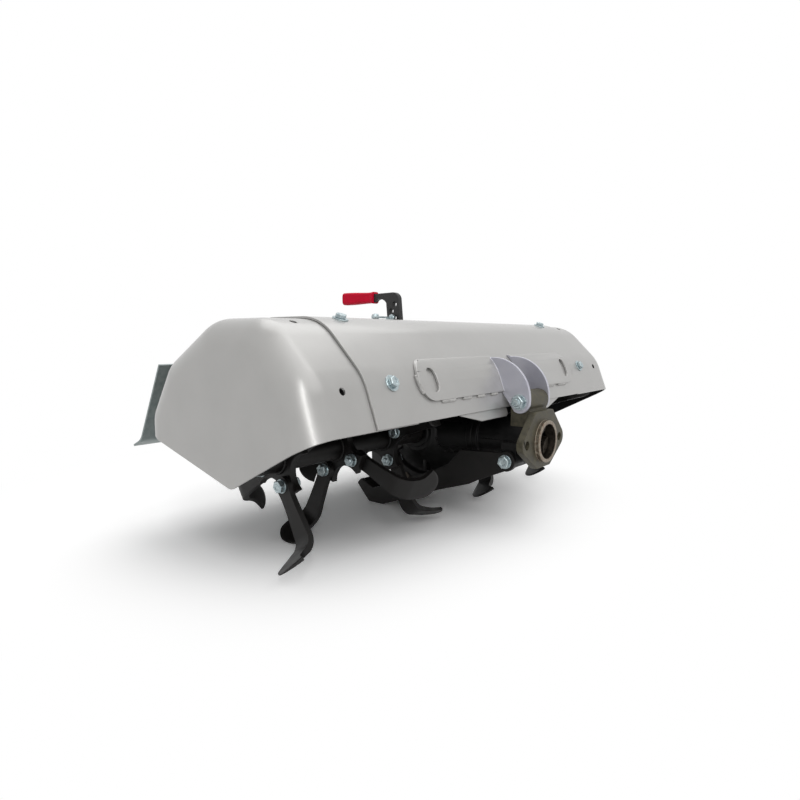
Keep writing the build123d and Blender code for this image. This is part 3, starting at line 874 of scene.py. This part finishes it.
@dataclass(frozen=True)
class Gearcase:
    """Gearbox casting with its joint bolts, boss rings, ribs and the hood's saddle."""

    places: Places
    joint_radius: float = 90.0
    joint_half: float = 20.0
    lugs: int = 8
    boss_x: float = 46.0
    boss: tuple[tuple[float, float], ...] = (
        (18, -4), (27, -4), (27, 0.6), (25, 2.0), (20, 2.0), (18, 0.6), (18, -4),
    )
    rib_angles: tuple[int, ...] = (25, 85, 145, 205, 265, 325)
    rib_place: tuple[float, float] = (21.0, 54.0)
    rib_size: tuple[float, float, float] = (12.0, 34.0, 6.0)

    def bolts(self) -> list[bmesh.types.BMesh]:
        """Stands a bolt on each lug of the joint and a nut behind it."""
        forms = []
        for i in range(self.lugs):
            angle = math.radians(180 / self.lugs + i * 360 / self.lugs)
            y, z = self.joint_radius * math.cos(angle), self.joint_radius * math.sin(angle)
            for side, head in ((-1, Head.BOLT), (1, Head.NUT)):
                place = self.places.at(side * self.joint_half, y * 1.03, z * 1.03)
                forms.append(M8_CASE.form(head, place, RIGHT * side, 23.0 * i))
        return forms

    def trim(self) -> list[bmesh.types.BMesh]:
        """Adds the boss rings and the ribs round them."""
        forms = []
        out, away = self.rib_place
        for side in (-1, 1):
            forms.append(moved(turned(self.boss, 48), aimed(self.places.at(side * self.boss_x, 0, 0), RIGHT * side)))
            for angle in self.rib_angles:
                y, z = away * math.cos(math.radians(angle)), away * math.sin(math.radians(angle))
                rib = bmesh.new()
                bmesh.ops.create_cube(rib, size=1.0)
                bmesh.ops.scale(rib, vec=Vector(self.rib_size) * MM, verts=rib.verts[:])
                bmesh.ops.bevel(
                    rib, geom=rib.edges[:], offset=0.0016, segments=2, profile=0.5, affect="EDGES", material=-1,
                )
                turn = Matrix.Rotation(math.radians(angle), 4, "X")
                forms.append(moved(rib, Matrix.Translation(self.places.at(side * out, y, z)) @ turn))
        return forms

    def build(self) -> None:
        """Builds the gearbox's looks."""
        softened("gearbox", "frame", (CAST_ENAMEL,), 1.6, None, 28.0)
        softened("hood_saddle", "frame", (BLACK_ENAMEL,), 0.9)
        piece("gearbox_joint_bolts", joined(self.bolts()), "frame", (OILED_STEEL,), 28.0)
        piece("gearbox_ribs_and_caps", joined(self.trim()), "frame", (CAST_ENAMEL,))


@dataclass(frozen=True)
class Holder:
    """One tine holder on the rotor: where it is and the angle of its first tine."""

    name: str
    x: float
    angle: float
    first_out: bool

    def bend_side(self, quarter: int) -> int:
        """Gives the side that a tine is bent to, as they alternate round the holder.

        Args:
            quarter: the tine's number.

        Returns:
            1 towards +X, -1 towards -X.
        """
        out = (quarter % 2 == 0) == self.first_out
        return 1 if out == (self.x > 0) else -1


@dataclass(frozen=True)
class TineForm:
    """A forged tine: flat shank, rounded bend and a sickle blade drawn thin at its tip and edge.

    Its outline is drawn flat and then bent. The shank lists its distance out from the axle and its
    half width. The blade lists reach from the shank's middle and place across, first the leading
    edge's and then the trailing edge's.
    """

    bend_start: float = 102.6
    bend_radius: float = 22.0
    bend_angle: float = 70.0
    thickness: float = 8.0
    tip_share: float = 0.36
    edge_share: float = 0.5
    edge_width: float = 8.0
    blade_reach: float = 55.0
    steps: int = 5
    across: int = 8
    shank: tuple[tuple[float, float], ...] = (
        (24.0, 0.5), (26.0, 6.5), (31.0, 10.8), (37.0, 12.0), (45.0, 11.0), (56.0, 10.2), (84.0, 11.6), (102.6, 13.2),
    )
    blade: tuple[tuple[float, float, float, float], ...] = (
        (8.0, -14.2, 7.6, 14.6),
        (17.0, -14.8, 14.6, 15.4),
        (34.0, -15.0, 20.0, 15.8),
        (44.0, -12.0, 26.0, 17.6),
        (51.0, -5.0, 30.0, 20.0),
        (55.0, 5.0, 33.0, 23.5),
        (53.0, 16.0, 35.4, 27.0),
        (46.5, 25.5, 37.0, 29.6),
        (38.5, 31.6, 38.0, 31.8),
    )

    def out_at(self, reach: float) -> float:
        """Gives how far out on the flat outline a blade's reach lies.

        Args:
            reach: distance from the shank's middle once bent, in millimetres.

        Returns:
            The distance from the axle before bending, in millimetres.
        """
        turn = math.radians(self.bend_angle)
        return self.bend_start + self.bend_radius * turn + (
            (reach - self.bend_radius * (1 - math.cos(turn))) / math.sin(turn)
        )

    def rows(self) -> list[tuple[Vector, Vector]]:
        """Lists matching points of the leading and trailing edges, smoothly joined.

        Returns:
            Pairs of flat points, root to tip.
        """
        corners = [(Vector((out, -half)), Vector((out, half))) for out, half in self.shank]
        corners += [
            (Vector((self.out_at(a), b)), Vector((self.out_at(c), d))) for a, b, c, d in self.blade
        ]
        padded = [corners[0]] + corners + [corners[-1]]
        rows = []
        for i in range(1, len(padded) - 2):
            for step in range(self.steps):
                t = step / self.steps
                pair = []
                for edge in (0, 1):
                    a, b, c, d = (padded[i + k][edge] for k in (-1, 0, 1, 2))
                    pair.append(0.5 * (2 * b + (c - a) * t + (2 * a - 5 * b + 4 * c - d) * t * t
                                       + (3 * b - a - 3 * c + d) * t ** 3))
                rows.append((pair[0], pair[1]))
        rows.append(corners[-1])
        return rows

    def form(self, middle_x: float, side: int, angle: float, axle: Vector) -> bmesh.types.BMesh:
        """Forges one tine at its place on the rotor.

        Args:
            middle_x: middle plane of its shank, in millimetres.
            side: 1 where the blade is bent towards +X, -1 towards -X.
            angle: forward of straight down, in degrees.
            axle: middle of the rotor's axle.

        Returns:
            The tine's form.
        """
        rows = self.rows()
        form = bmesh.new()
        bmesh.ops.create_grid(form, x_segments=len(rows) - 1, y_segments=self.across, size=1.0)
        shell = bmesh.ops.extrude_face_region(form, geom=form.faces[:])["geom"]
        bmesh.ops.translate(form, vec=(0, 0, 1), verts=[v for v in shell if isinstance(v, bmesh.types.BMVert)])
        turn, lean = math.radians(self.bend_angle), math.radians(angle)
        down = Vector((0, -math.sin(lean), -math.cos(lean)))
        trail = Vector((0, -math.cos(lean), math.sin(lean)))
        blade_start, blade_end = self.bend_start + self.bend_radius * turn, self.out_at(self.blade_reach)
        for vert in form.verts:
            lead, rear = rows[round((vert.co.x + 1) / 2 * (len(rows) - 1))]
            flat = lead.lerp(rear, (vert.co.y + 1) / 2)
            along = max(0.0, min(1.0, (flat.x - blade_start) / (blade_end - blade_start)))
            drawn = min(1.0, self.edge_share + (flat - lead).length / self.edge_width)
            share = (1 + (self.tip_share - 1) * along) * (1 + (drawn - 1) * min(1.0, 2 * along))
            offset = (vert.co.z - 0.5) * self.thickness * share
            run = flat.x - self.bend_start
            bent = min(max(run / self.bend_radius, 0.0), turn)
            past = max(run - self.bend_radius * turn, 0.0)
            radius = self.bend_radius + offset
            out = min(flat.x, self.bend_start) + radius * math.sin(bent) + past * math.cos(turn)
            over = self.bend_radius - radius * math.cos(bent) + past * math.sin(turn)
            vert.co = axle + (Vector((middle_x + side * over, 0, 0)) + down * out + trail * flat.y) * MM
        bmesh.ops.remove_doubles(form, verts=form.verts[:], dist=1e-5)
        bmesh.ops.recalc_face_normals(form, faces=form.faces[:])
        return form


@dataclass(frozen=True)
class Rotor:
    """Shaft, hubs, holders, tines and their bolts."""

    places: Places
    root_radius: float = 36.0
    tine_thickness: float = 8.0
    holder_half: float = 5.0
    hub_radius: float = 17.0
    end_face: float = 376.0
    holders: tuple[Holder, ...] = (
        Holder("inner_right", 128, 22, False),
        Holder("middle_right", 231, 67, False),
        Holder("outer_right", 337, 22, False),
        Holder("inner_left", -128, 22, False),
        Holder("middle_left", -231, 67, False),
        Holder("outer_left", -337, 31, True),
    )

    def bolts(self, holder: Holder) -> bmesh.types.BMesh:
        """Bolts a holder's four tines, the head on the tine and the nut on the holder.

        Args:
            holder: the holder.

        Returns:
            The eight ends of the four bolts.
        """
        forms = []
        for quarter in range(4):
            angle = math.radians(holder.angle + 90 * quarter)
            side = holder.bend_side(quarter)
            y, z = -self.root_radius * math.sin(angle), -self.root_radius * math.cos(angle)
            tine_face = holder.x + side * (self.holder_half + self.tine_thickness)
            back_face = holder.x - side * self.holder_half
            way = RIGHT * side
            forms.append(M10_TINE.form(Head.BOLT, self.places.at(tine_face, y, z), way, 14 + 31 * quarter))
            forms.append(M10_TINE.form(Head.NUT, self.places.at(back_face, y, z), -way, 5 + 19 * quarter))
        return joined(forms)

    def tines(self, holder: Holder) -> None:
        """Forges a holder's four tines.

        Args:
            holder: the holder.
        """
        forms = []
        for quarter in range(4):
            side = holder.bend_side(quarter)
            middle = holder.x + side * (self.holder_half + self.tine_thickness / 2)
            forms.append(TineForm().form(middle, side, holder.angle + 90 * quarter, self.places.axle))
        made = piece(f"forged_tines_{holder.name}", joined(forms), "rotor", (BLACK_ENAMEL,), 40.0)
        rounded(made, 0.9, 40.0)
        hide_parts(f"tines_{holder.name}")

    def build(self) -> None:
        """Builds the rotor's looks."""
        welds = []
        for holder in self.holders:
            softened(f"tine_holder_{holder.name}", "rotor", (BLACK_ENAMEL,), 0.8)
            self.tines(holder)
            piece(f"tine_bolts_{holder.name}", self.bolts(holder), "rotor", (ZINC_PLATE,), 28.0)
            for side in (-1, 1):
                place = self.places.at(holder.x + side * (self.holder_half + 0.8), 0, 0)
                welds.append(ring_bead(place, RIGHT, self.hub_radius + 0.9, 2.6))
        piece("holder_welds", joined(welds), "rotor", (BLACK_ENAMEL,), 50.0)
        ends = []
        for side, name in SIDES:
            softened(f"rotor_hub_{name}", "rotor", (BLACK_ENAMEL,), 0.8)
            ends.append(M10_END.form(Head.BOLT, self.places.at(side * self.end_face, 0, 0), RIGHT * side, 9))
        piece("rotor_end_bolts", joined(ends), "rotor", (ZINC_PLATE,), 28.0)
        dress(BLACK_ENAMEL, "rotor_shaft")


@dataclass(frozen=True)
class DepthSkid:
    """Skid with its pivot screws, the lever with its red grip, and the index plunger."""

    places: Places
    plate_x: float = 46.5
    plate_thickness: float = 8.0
    bolt_inner_x: float = 24.0
    bolt_radius: float = 7.9
    lever_half: float = 5.0
    plunger: tuple[float, float] = (79.0, 191.0)
    post_z: tuple[float, float] = (168.0, 191.0)
    post_thickness: float = 5.0
    post_widths: tuple[float, float] = (30.0, 10.8)
    grip_y: tuple[float, float] = (127.0, 203.0)
    grip_z: float = 228.5
    grip_size: tuple[float, float] = (21.0, 23.0)
    grip_cuts: tuple[float, ...] = (0.8, 4.6, 5.8, 24.0, 46.0, 66.0, 72.0, 74.6)
    # how full the grip's section is up to each distance from its front end
    grip_scales: tuple[tuple[float, float], ...] = (
        (0.8, 0.9), (1.2, 0.93), (4.8, 0.93), (6.0, 0.83), (24.5, 0.86), (46.5, 0.97), (66.5, 1.0), (75.5, 0.99),
        (78.0, 0.93),
    )
    stem: tuple[tuple[float, float], ...] = (
        (0, 1.2), (3.4, 1.2), (5.4, 2.4), (5.8, 4.2), (5.8, 9.0), (5.2, 9.6), (1.7, 9.8), (1.7, 46.0),
        (4.6, 46.4), (5.6, 47.6), (5.8, 53.0), (5.0, 56.0), (3.0, 57.8), (0, 58.2),
    )

    def screws(self) -> None:
        """Puts a flanged screw in each end of the neck's cross boss."""
        face = self.plate_x + self.plate_thickness + 0.3
        start, radius = self.bolt_inner_x, self.bolt_radius
        pivot = Vector((self.places.axle.x, self.places.skid_pivot.y, self.places.skid_pivot.z))
        for side, name in SIDES:
            way = RIGHT * side
            shank = turned([(0, start), (radius, start), (radius, face), (0, face)], 32)
            forms = [
                moved(shank, aimed(pivot, way)),
                M12_SKID.form(Head.BOLT, pivot + way * face * MM, way, 17.0),
            ]
            made = piece(f"skid_pivot_screw_{name}", joined(forms), "frame", (ZINC_PLATE,), 28.0)
            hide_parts(f"skid_screw_{name}")

    def grip(self) -> None:
        """Moulds the grip: a slightly waisted block with a rim at the lever's end and a sunk panel each side."""
        start, end = self.grip_y
        form = bmesh.new()
        bmesh.ops.create_cube(form, size=1.0)
        width, height = self.grip_size
        bmesh.ops.scale(form, vec=Vector((width, end - start, height)) * MM, verts=form.verts[:])
        bmesh.ops.translate(form, vec=self.places.at(0, (start + end) / 2, self.grip_z), verts=form.verts[:])
        along = [e for e in form.edges if abs((e.verts[0].co - e.verts[1].co).normalized().y) > 0.9]
        bmesh.ops.bevel(form, geom=along, offset=0.0062, segments=5, profile=0.5, affect="EDGES", material=-1)
        for cut in self.grip_cuts:
            bmesh.ops.bisect_plane(
                form, geom=form.verts[:] + form.edges[:] + form.faces[:],
                plane_co=self.places.at(0, start + cut, 0), plane_no=(0, 1, 0),
            )
        middle = self.places.at(0, 0, self.grip_z)
        for vert in form.verts:
            depth = (vert.co.y - self.places.axle.y) / MM - start
            factor = next(scale for limit, scale in self.grip_scales if depth <= limit)
            vert.co.x = middle.x + (vert.co.x - middle.x) * factor
            vert.co.z = middle.z + (vert.co.z - middle.z) * factor
        flats = [
            f for f in form.faces
            if abs(f.normal.x) > 0.95 and 6 < (f.calc_center_median().y - self.places.axle.y) / MM - start < 75
        ]
        bmesh.ops.inset_region(form, faces=flats, thickness=0.0022, depth=-0.0005, use_even_offset=True)
        made = piece("moulded_grip", form, "skid", (RED_PVC,), 50.0)
        rounding = made.modifiers.new("smooth_moulding", "SUBSURF")
        rounding.levels = rounding.render_levels = 2
        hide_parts("lever_grip")

    def index(self) -> None:
        """Makes the index plunger low on its post: a domed nose by the lever, its stem and the pull knob."""
        y, z = self.plunger
        post = bmesh.new()
        bmesh.ops.create_cube(post, size=1.0)
        low, top = self.post_z
        foot, head = self.post_widths
        bmesh.ops.scale(post, vec=Vector((self.post_thickness, foot, top - low)) * MM, verts=post.verts[:])
        for vert in post.verts:
            if vert.co.z > 0:
                vert.co.y *= head / foot
        upright = [e for e in post.edges if abs((e.verts[0].co - e.verts[1].co).normalized().x) > 0.9]
        bmesh.ops.bevel(post, geom=upright, offset=0.003, segments=4, profile=0.5, affect="EDGES", material=-1)
        stand = Matrix.Translation(self.places.at(-self.lever_half - 12.5, y, (low + top) / 2))
        stem = moved(turned(self.stem, 40), aimed(self.places.at(-self.lever_half, y, z), LEFT))
        form = joined([stem, moved(post, stand)])
        made = piece("index_plunger_finished", form, "frame", (ZINC_PLATE,), 35.0)
        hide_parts("index_plunger")

    def welds(self) -> None:
        """Welds the sole between its plates and the lever on the sole."""
        forms = []
        floor = -self.places.axle.z / MM
        line = [(52, floor + 16), (70, floor + 12.4), (98, floor + 12.4)]
        for side in (-1, 1):
            x = side * (self.plate_x - 1.2)
            forms.append(bead([self.places.at(x, y, z) for y, z in line], 2.4))
            x = side * (self.lever_half + 1.0)
            forms.append(bead([self.places.at(x, 107, floor + 19), self.places.at(x, 120, floor + 34)], 2.4))
        piece("skid_welds", joined(forms), "skid", (BLACK_ENAMEL,), 50.0)

    def build(self) -> None:
        """Builds the skid's looks."""
        for _, name in SIDES:
            softened(f"skid_plate_{name}", "skid", (BLACK_ENAMEL,), 0.8)
        softened("skid_sole", "skid", (BLACK_ENAMEL,), 1.0)
        softened("depth_lever", "skid", (LEVER_STEEL,), 0.9)
        self.screws()
        self.index()
        self.grip()
        self.welds()


@dataclass(frozen=True)
class Flap:
    """Galvanised rear flap, its straps, hinges and pins."""

    places: Places
    hinges_x: tuple[float, ...] = (-280.0, 0.0, 280.0)
    lean: float = 27.8
    rivet_downs: tuple[float, ...] = (34.0, 78.0)
    cheek_outer: float = 17.5

    def rivets(self) -> bmesh.types.BMesh:
        """Sets the domed bolts that hold the straps."""
        skin = Skin(("flap_straps",))
        lean = math.radians(self.lean)
        forms = []
        for x in self.hinges_x:
            for down in self.rivet_downs:
                start = Vector((
                    self.places.axle.x + x * MM,
                    self.places.flap_pin.y + (math.sin(lean) * down + 60 * math.cos(lean)) * MM,
                    self.places.flap_pin.z + (-math.cos(lean) * down + 60 * math.sin(lean)) * MM,
                ))
                place, normal = skin.hit(start, Vector((0, -math.cos(lean), -math.sin(lean))))
                forms.append(M8_CASE.form(Head.DOME, place, normal))
        return joined(forms)

    def pins(self) -> bmesh.types.BMesh:
        """Puts a pin head and a clip on the ends of each hinge."""
        forms = []
        pin = Vector((self.places.axle.x, self.places.flap_pin.y, self.places.flap_pin.z))
        for x in self.hinges_x:
            for side in (-1, 1):
                place = pin + RIGHT * (x + side * self.cheek_outer) * MM
                forms.append(SPRING_PIN.form(Head.DOME, place, RIGHT * side))
        return joined(forms)

    def build(self) -> None:
        """Builds the flap's looks."""
        softened("rear_flap", "flap", (GALVANISED,), 0.6)
        softened("flap_straps", "flap", (GALVANISED,), 0.7)
        softened("flap_hinges", "frame", (GALVANISED,), 0.7)
        piece("strap_bolts", self.rivets(), "flap", (ZINC_PLATE,), 28.0)
        piece("hinge_pin_heads", self.pins(), "frame", (ZINC_PLATE,), 28.0)


@dataclass(frozen=True)
class Lamp:
    """A soft rectangular lamp: where it hangs, its width and height in metres, and its power in watts."""

    name: str
    place: tuple[float, float, float]
    size: tuple[float, float]
    watts: float

    def hang(self, target: Vector) -> None:
        """Hangs the lamp.

        Args:
            target: what it faces.
        """
        light = bpy.data.lights.new(self.name, "AREA")
        light.shape = "RECTANGLE"
        light.size, light.size_y = self.size
        light.energy = self.watts
        lamp = bpy.data.objects.new(self.name, light)
        lamp.location = self.place
        lamp.rotation_euler = (target - Vector(self.place)).to_track_quat("-Z", "Y").to_euler()
        bpy.context.scene.collection.objects.link(lamp)


@dataclass(frozen=True)
class Studio:
    """Pale floor, soft light and the camera. Lengths in metres."""

    floor_size: float = 9.0
    floor_colour: str = "#ECECEC"
    floor_gain: float = 0.45
    fade_middle: tuple[float, float] = (-0.07, 0.2)
    fade_start: float = 0.24
    fade_end: float = 0.62
    world_colour: str = "#FFFFFF"
    world_strength: float = 0.46
    lamps: tuple[Lamp, ...] = (
        Lamp("key", (0.2, -1.5, 2.8), (2.4, 2.4), 15),
        Lamp("top", (0.9, 0.6, 2.7), (2.4, 2.4), 24),
        Lamp("end_strip", (-1.62, -1.5, 1.25), (0.26, 2.2), 15),
    )
    camera_offset: tuple[float, float, float] = (-0.826, -0.5913, 0.1552)
    camera_forward: tuple[float, float, float] = (0.7763, 0.6215, -0.1045)
    lens_mm: float = 26.55

    def floor(self) -> None:
        """Lays the floor, white to the camera and shaded by the part."""
        mesh = bpy.data.meshes.new("floor")
        form = bmesh.new()
        bmesh.ops.create_grid(form, x_segments=1, y_segments=1, size=self.floor_size)
        form.to_mesh(mesh)
        form.free()
        floor = bpy.data.objects.new("floor", mesh)
        bpy.context.scene.collection.objects.link(floor)
        made = bpy.data.materials.new("studio_floor")
        made.use_nodes = True
        tree = made.node_tree
        tree.nodes.clear()
        place = add_node(tree, "ShaderNodeTexCoord").outputs["Object"]
        away = add_node(
            tree, "ShaderNodeVectorMath", {"operation": "SUBTRACT", "=1": (*self.fade_middle, 0.0)}, {"0": place},
        ).outputs["Vector"]
        distance = add_node(tree, "ShaderNodeVectorMath", {"operation": "LENGTH"}, {"0": away}).outputs["Value"]
        far = add_node(
            tree, "ShaderNodeMapRange",
            {"interpolation_type": "SMOOTHSTEP", "=From Min": self.fade_start, "=From Max": self.fade_end},
            {"Value": distance},
        ).outputs["Result"]
        seen = self.seen(tree)
        pale = linear(self.floor_colour)[0]
        tone = add_node(
            tree, "ShaderNodeMath", {"operation": "MULTIPLY_ADD", "=1": self.floor_gain, "=2": pale}, {"0": seen},
        ).outputs[0]
        near = add_node(tree, "ShaderNodeBsdfDiffuse", {}, {"Color": tone})
        white = add_node(tree, "ShaderNodeEmission", {"=Color": linear("#FFFFFF"), "=Strength": 1.0})
        share = add_node(tree, "ShaderNodeMath", {"operation": "MULTIPLY"}, {"0": far, "1": seen}).outputs[0]
        both = add_node(
            tree, "ShaderNodeMixShader", {},
            {"Fac": share, "1": near.outputs[0], "2": white.outputs[0]},
        )
        add_node(tree, "ShaderNodeOutputMaterial", {}, {"Surface": both.outputs[0]})
        mesh.materials.append(made)

    def seen(self, tree: bpy.types.NodeTree) -> object:
        """Tells the rays that see the white background from those that carry light.

        Args:
            tree: the floor's or the world's node tree.

        Returns:
            A socket that is 1 for camera, glossy and transmission rays.
        """
        rays = add_node(tree, "ShaderNodeLightPath")
        sight = add_node(
            tree, "ShaderNodeMath", {"operation": "MAXIMUM"},
            {"0": rays.outputs["Is Camera Ray"], "1": rays.outputs["Is Glossy Ray"]},
        ).outputs[0]
        return add_node(
            tree, "ShaderNodeMath", {"operation": "MAXIMUM"},
            {"0": sight, "1": rays.outputs["Is Transmission Ray"]},
        ).outputs[0]

    def world(self) -> None:
        """Lights everything softly and shows white behind the part."""
        world = bpy.data.worlds.new("studio")
        bpy.context.scene.world = world
        world.use_nodes = True
        tree = world.node_tree
        tree.nodes.clear()
        seen = self.seen(tree)
        colour = linear(self.world_colour)
        light = add_node(tree, "ShaderNodeBackground", {"=Color": colour, "=Strength": self.world_strength})
        white = add_node(tree, "ShaderNodeBackground", {"=Color": colour, "=Strength": 1.0})
        both = add_node(
            tree, "ShaderNodeMixShader", {},
            {"Fac": seen, "1": light.outputs[0], "2": white.outputs[0]},
        )
        add_node(tree, "ShaderNodeOutputWorld", {}, {"Surface": both.outputs[0]})

    def camera(self, axle: Vector) -> None:
        """Sets the camera up.

        Args:
            axle: middle of the rotor's axle.
        """
        lens = bpy.data.cameras.new("camera")
        lens.lens = self.lens_mm
        lens.sensor_width = 36.0
        lens.clip_start = 0.01
        camera = bpy.data.objects.new("camera", lens)
        camera.location = axle + Vector(self.camera_offset)
        camera.rotation_euler = Vector(self.camera_forward).to_track_quat("-Z", "Y").to_euler()
        bpy.context.scene.collection.objects.link(camera)
        bpy.context.scene.camera = camera

    def build(self, axle: Vector) -> None:
        """Builds the whole studio.

        Args:
            axle: middle of the rotor's axle.
        """
        bpy.context.scene.view_settings.view_transform = "Standard"
        self.floor()
        self.world()
        for lamp in self.lamps:
            lamp.hang(axle)
        self.camera(axle)


def main() -> None:
    """Loads the frame, dresses every sub-assembly and sets up the studio."""
    logging.basicConfig(level=logging.INFO, format="%(name)s: %(message)s")
    FRAME.update(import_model())
    joints = {joint["name"]: joint for joint in FRAME["joints"]}
    places = Places(
        Vector(joints["rotor_spin"]["pos_m"]),
        Vector(joints["skid_swing"]["pos_m"]),
        Vector(joints["flap_swing"]["pos_m"]),
    )
    for assembly in (
        Hood(places), HitchBrackets(places), Coupling(places), Gearcase(places),
        Rotor(places), DepthSkid(places), Flap(places),
    ):
        LOG.info("building %s", type(assembly).__name__)
        assembly.build()
    Studio().build(places.axle)


if __name__ == "__main__":
    main()
